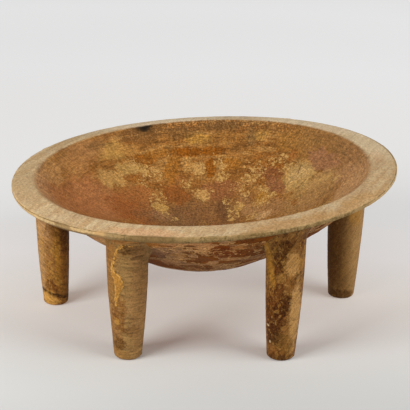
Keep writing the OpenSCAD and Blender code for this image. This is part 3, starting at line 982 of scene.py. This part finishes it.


# stains on each leg; some rows are painted light or shade down a leg's sides
legStainsAndShade = {
    "leg_left": [
        # painted light down the outer left side, where the left lamp falls
        (-192, -22, 70, 8, 80, (178, 138, 90), 0.8),
        (-183, -31, 76, 7, 22, (160, 114, 62), 0.6, 1.0),
        (-184, -28, 108, 8, 22, (174, 134, 92), 0.6, 1.0, 0.4),
        (-170, -32, 74, 3.5, 50, (184, 130, 44), 0.65, 1.3),
        (-174, -33, 112, 9, 20, (112, 72, 28), 0.7, 1.1),
        (-162, -28, 104, 9, 24, (88, 54, 22), 0.75, 1.8, 0.5),
        (-175, -32, 30, 10, 12, (112, 66, 24), 0.7, 1.1),
        (-163, -27, 34, 7, 36, (166, 112, 46), 0.75, 1.4, 0.4),
        (-176, -30, 15, 26, 2.3, (58, 34, 12), 0.9, 0.8, 0.5, -20),
        (-183, -28, 7, 14, 8.5, (206, 152, 74), 0.9, 0.8, 0.3, -20),
    ],
    "leg_front_left": [
        (-99, -168, 105, 7, 45, (138, 94, 42), 0.8, 0.9),
        (-95, -172, 126, 9, 14, (134, 88, 36), 0.75, 1.0),
        (-80, -178, 146, 24, 5, (160, 106, 52), 0.8, 1.1),
        (-74, -179, 134, 16, 6, (94, 60, 24), 0.85, 1.1),
        (-92, -172, 36, 10, 34, (126, 78, 34), 0.65, 1.5, 0.35),
        (-88, -176, 60, 8, 22, (120, 74, 28), 0.75, 1.1),
        (-90, -174, 47, 3, 3.5, (188, 138, 62), 0.55, 1.8),
        (-73, -174, 37, 8, 7, (92, 58, 24), 0.8, 1.5, 0.35),
        (-87, -172, 20, 6, 7, (84, 50, 16), 0.85, 1.5, 0.35),
        (-67.5, -176, 124.5, 6.5, 2.4, (34, 20, 8), 1.0, 0.25, 0.3, 6),
        (-86, -172, 6, 12, 7, (144, 102, 48), 0.6, 1.3),
        (-66, -172, 74, 12, 80, (160, 116, 70), 0.6, 0.7, 0.5),
    ],
    "leg_front_right": [
        (80, -167, 86, 10, 50, (90, 46, 8), 0.8, 1.0, 0.25, -12),
        (89, -170, 66, 8, 22, (68, 32, 4), 0.9, 1.1, 0.2, -30),
        (79, -166, 36, 8, 20, (66, 32, 4), 0.9, 1.1, 0.25, -24),
        (86, -171, 101, 6, 6, (164, 118, 56), 0.7, 1.4, 0.2, -30),
        (73, -162, 116, 4, 24, (186, 132, 48), 0.75, 1.2, 0.3, 12),
        (84, -169, 128, 10, 14, (82, 48, 14), 0.8, 1.1),
        # paler on the right side: the leg's own pale wood with painted light from the right
        (104, -164, 54, 7, 46, (196, 150, 90), 0.85, 1.2),
        (98, -168, 117, 8, 15, (192, 144, 82), 0.9, 1.2),
        (97, -169, 96, 7, 9, (122, 74, 28), 0.7, 1.1),
        (86, -167, 27, 7, 9, (74, 48, 16), 0.8, 1.1),
        (94, -167, 22, 9, 12, (122, 84, 36), 0.75, 1.0, 0.3),
        (90, -168, 3, 24, 5, (86, 56, 22), 0.7, 1.0),
        (74.6, -159, 41, 1.2, 1.2, (206, 180, 140), 0.9, 0.8),
        (77.5, -162, 22, 1.0, 1.5, (206, 180, 140), 0.9, 0.8),
    ],
    "leg_right": [
        # painted shade down the left side and painted light down the right side
        (158, 8, 70, 13, 90, (98, 62, 27), 0.85, 0.6, 0.6),
        (190, 10, 70, 11, 90, (184, 142, 88), 0.8, 0.6, 0.6),
        (184, 4, 112, 8, 14, (180, 128, 54), 0.6, 1.0),
        (170, 8, 6, 18, 7, (82, 50, 22), 0.8, 1.0),
    ],
    "leg_back_right": [
        (62, 178, 60, 12, 50, (104, 64, 26), 0.6, 1.0),
        (76, 176, 30, 9, 16, (172, 124, 60), 0.6, 1.0),
        (70, 178, 120, 10, 12, (92, 56, 20), 0.7, 1.0),
    ],
    "leg_back_left": [
        (-112, 158, 80, 10, 40, (178, 128, 60), 0.6, 1.0),
        (-98, 160, 34, 9, 20, (100, 62, 24), 0.7, 1.0),
        (-106, 156, 8, 18, 7, (182, 136, 72), 0.6, 1.0),
    ],
}


def legMaterial(node):
    s, f, seed = legLook, legFinish[node], legs[node]["seed"]
    material, shader, point = startMaterial(pieceName(node) + "Wood")
    # each leg has its own stretch of the patterns
    own = vectorMaths("ADD", point, (seed * 57.0, seed * 23.0, 0.0))
    mottle = useGroup(agedMottle, {"Point": own, "Size": s["mottle"]})
    small = useGroup(agedMottle, {"Point": own, "Size": s["small"]})
    grit = useGroup(fineGrit, {"Point": own, "Size": s["grit"]})["Mask"]
    ragged = timesPlus(mottle["Ragged"], 0.6, times(small["Ragged"], 0.8))
    sloped = turned(own, 0, f["slope"], 0)
    fibre = useGroup(woodFibre, {"Point": sloped, **s["fibre"]})
    coarse = useGroup(woodFibre, {"Point": sloped, **s["coarse"]})
    colour = mixed(mottle["Broad"], f["base"], f["light"], 0.45)
    colour = mixed(ramp(coarse["Streaks"], 0.42, 0.1), colour, f["dark"], f["blotch"])
    colour = addPatches(point, ragged, colour, ball, legStainsAndShade[node])
    colour = mixed(ramp(small["Ragged"], 0.1, 0.32), colour, f["light"], f["fleck"])
    colour = mixed(ramp(small["Ragged"], -0.1, -0.32), colour, f["dark"], 0.7 * f["blotch"])
    drawn = vectorMaths("MULTIPLY", own, (1.0, 1.0, 0.5))
    veins = times(useGroup(curledLines, {"Point": drawn, **s["veins"]})["Mask"], small["Broad"])
    colour = mixed(veins, colour, s["vein"], f["vein"])
    tone = times(contrast(fibre["Streaks"], f["fibre"]), contrast(small["Fine"], 0.16),
                 contrast(grit, f["grit"]))
    colour = scaled(colour, tone)

    # the run of dried drink, with a painted shadow as a dark outline round it
    drip = attribute(material.node_tree, "drip")
    brokenDrip = timesPlus(grit, 0.3, drip)
    within = ramp(timesPlus(small["Ragged"], 0.5, drip), 0.45, 0.8)
    dripTone = mixed(within, s["drip"], s["dripMiddle"], 0.8)
    dripTone = scaled(dripTone, contrast(grit, 0.3))
    # painted shadow round the raised run
    colour = mixed(ramp(brokenDrip, 0.1, 0.25), colour, f["dark"], 0.5)
    colour = mixed(ramp(brokenDrip, 0.26, 0.44), colour, dripTone, 0.85)
    low, high = s["roughness"]
    dull = timesPlus(small["Middling"], high - low, low)
    height = timesPlus(fibre["Height"], 0.5, times(grit, 0.8))
    finishWood(shader, colour, dull, height)
    return material


bowl = makeBowl()
bowl.data.materials.append(bowlMaterial())
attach(bowl, "root")
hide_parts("bowl")
print("bowl dressed")

for node in legs:
    piece = makeLeg(node)
    piece.data.materials.append(legMaterial(node))
    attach(piece, "root")
    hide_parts(node)
print("legs dressed")


# floor, lights and camera

stageLook = {
    "plain": (226, 225, 223), "roughness": 0.9, "reach": 40.0, "drop": 0.0002,
    "nearY": -300.0, "farY": 2000.0, "sideRate": 1.5, "sideStart": 825.0,
    # what the viewer sees of the sweep is partly lit and partly pale of its own, by depth: y, then the tone
    # the glow from y 20 on was fitted to the photo's floor and rounded, the other rows were set
    "lit": [
        (-300, 0.545, 0.545, 0.535), (-200, 0.63, 0.63, 0.61), (-115, 0.67, 0.7, 0.68),
        (-60, 0.555, 0.59, 0.59), (20, 0.51, 0.54, 0.54),
    ],
    "glow": [
        (-300, 0.0, 0.0, 0.0), (-200, 0.0, 0.0, 0.0), (-115, 0.06, 0.01, 0.0), (-60, 0.2, 0.14, 0.11),
        (20, 0.31, 0.25, 0.215), (140, 0.35, 0.3, 0.285), (320, 0.33, 0.3, 0.29), (700, 0.4, 0.37, 0.36),
        (1200, 0.475, 0.45, 0.45), (2000, 0.515, 0.5, 0.5),
    ],
}


def depthTones(level, tones):
    near, far = stageLook["nearY"], stageLook["farY"]
    shades = addNode("ValToRGB", {0: level})
    stops = shades.color_ramp.elements
    while len(stops) < len(tones):
        stops.new(1.0)
    for stop, (y, *tone) in zip(stops, tones):
        stop.position = (y - near) / (far - near)
        stop.color = (*tone, 1.0)
    return shades.outputs[0]


def makeFloor():
    look, half = stageLook, stageLook["reach"]
    mesh = bpy.data.meshes.new("studioFloor")
    corners = [(x * half, y * half, -look["drop"]) for x, y in ((-1, -1), (1, -1), (1, 1), (-1, 1))]
    mesh.from_pydata(corners, [], [(0, 1, 2, 3)])
    floor = placed("studioFloor", mesh)
    material, shader, point = startMaterial("paleSweep")
    rays = addNode("LightPath", {}, material.node_tree).outputs
    mirrored = maths("MAXIMUM", rays["Is Glossy Ray"], rays["Is Transmission Ray"])
    seen = maths("MAXIMUM", rays["Is Camera Ray"], mirrored)
    # depth behind the bowl, or far off to any side
    away = timesPlus(roundBowl(point)[1], look["sideRate"], -look["sideStart"])
    depth = maths("MAXIMUM", addNode("SeparateXYZ", {0: point}).outputs[1], away)
    level = addNode("MapRange", {0: depth, 1: look["nearY"], 2: look["farY"]}).outputs[0]
    lit = mixed(seen, look["plain"], depthTones(level, look["lit"]))
    link(lit, shader.inputs["Base Color"])
    link(depthTones(level, look["glow"]), shader.inputs["Emission Color"])
    link(seen, shader.inputs["Emission Strength"])
    shader.inputs["Roughness"].default_value = look["roughness"]
    shader.inputs["Specular IOR Level"].default_value = 0.0
    floor.data.materials.append(material)


# places and sizes began as a fit to the photo's floor and were then changed
softboxes = {
    "leftBox": {"from": (-1.02, -0.84, 0.72), "size": 0.75, "power": 18.5},
    "rightBox": {"from": (1.81, -0.77, 1.37), "size": 1.5, "power": 35.0},
}
lightAim, fillLevel = (0.0, 0.0, 0.08), 0.36


def makeLights():
    for name, box in softboxes.items():
        lamp = bpy.data.lights.new(name, "AREA")
        lamp.shape = "SQUARE"
        lamp.size = box["size"]
        lamp.energy = box["power"]
        holder = placed(name, lamp)
        holder.location = box["from"]
        holder.visible_camera = False
        aim = Vector(lightAim) - Vector(box["from"])
        holder.rotation_euler = aim.to_track_quat("-Z", "Y").to_euler()
    world = bpy.data.worlds.new("studioFill")
    bpy.context.scene.world = world
    world.use_nodes = True
    sky = world.node_tree.nodes["Background"]
    sky.inputs["Color"].default_value = (1.0, 1.0, 1.0, 1.0)
    sky.inputs["Strength"].default_value = fillLevel


# fitted to the photo
cameraSetup = {
    "lens": 107.69, "sensor": 36.0, "clip": (0.05, 100.0),
    "away": 1.4631, "lift": 19.787, "roll": -1.258, "aim": (0.00281, 0.0, 0.12256),
}


def makeCamera():
    c = cameraSetup
    lift, roll = math.radians(c["lift"]), math.radians(c["roll"])
    ahead = Vector((0, math.cos(lift), -math.sin(lift)))
    right, up = Vector((1, 0, 0)), Vector((0, math.sin(lift), math.cos(lift)))
    tilted = right * math.cos(roll) - up * math.sin(roll)
    upward = right * math.sin(roll) + up * math.cos(roll)
    lens = bpy.data.cameras.new("viewer")
    lens.lens = c["lens"]
    lens.sensor_width = c["sensor"]
    lens.clip_start, lens.clip_end = c["clip"]
    viewer = placed("viewer", lens)
    turn = Matrix((tilted, upward, -ahead)).transposed()
    viewer.matrix_world = Matrix.Translation(Vector(c["aim"]) - ahead * c["away"]) @ turn.to_4x4()
    bpy.context.scene.camera = viewer


makeFloor()
makeLights()
makeCamera()
bpy.context.scene.view_settings.view_transform = "Standard"
print("stage, lights and camera set")
